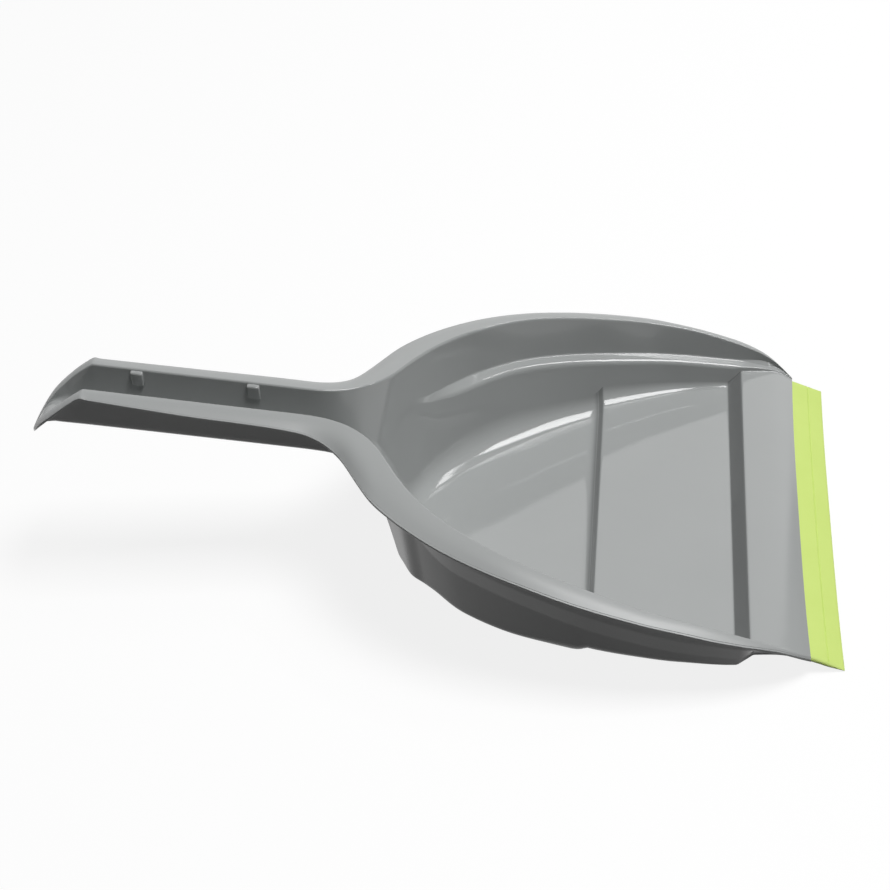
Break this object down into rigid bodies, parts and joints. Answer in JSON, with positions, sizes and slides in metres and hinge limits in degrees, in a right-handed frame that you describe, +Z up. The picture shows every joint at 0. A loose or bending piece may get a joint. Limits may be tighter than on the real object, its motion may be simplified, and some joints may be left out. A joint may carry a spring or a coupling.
{
  "type": "dustpan",
  "caption": "Hand dustpan with a deep rounded pan, stepped floor, rim flange, open channel handle and a soft flexing lip along the front edge.",
  "frame": {"origin": "bottom centre of the whole part, at the middle of its length and width", "axes": "+X from the handle to the lip, +Y across the pan, +Z up; the pan rests on its floor"},
  "size_m": [0.33, 0.2286, 0.0824],
  "materials": {
    "pan_plastic": "semi-gloss moulded grey",
    "lip_rubber": "matte lime green soft rubber"
  },
  "bodies": {
    "pan": {"pan_body": "pan_plastic", "lip_root": "lip_rubber"},
    "lip": {"lip_blade": "lip_rubber"}
  },
  "joints": [
    {"name": "lip_flex", "type": "hinge", "parent": "pan", "child": "lip", "pos_m": [0.159, 0, 0.00281], "axis": [0, -1, 0], "range_deg": [-15, 25], "stiffness_Nm_per_rad": 0.05}
  ]
}
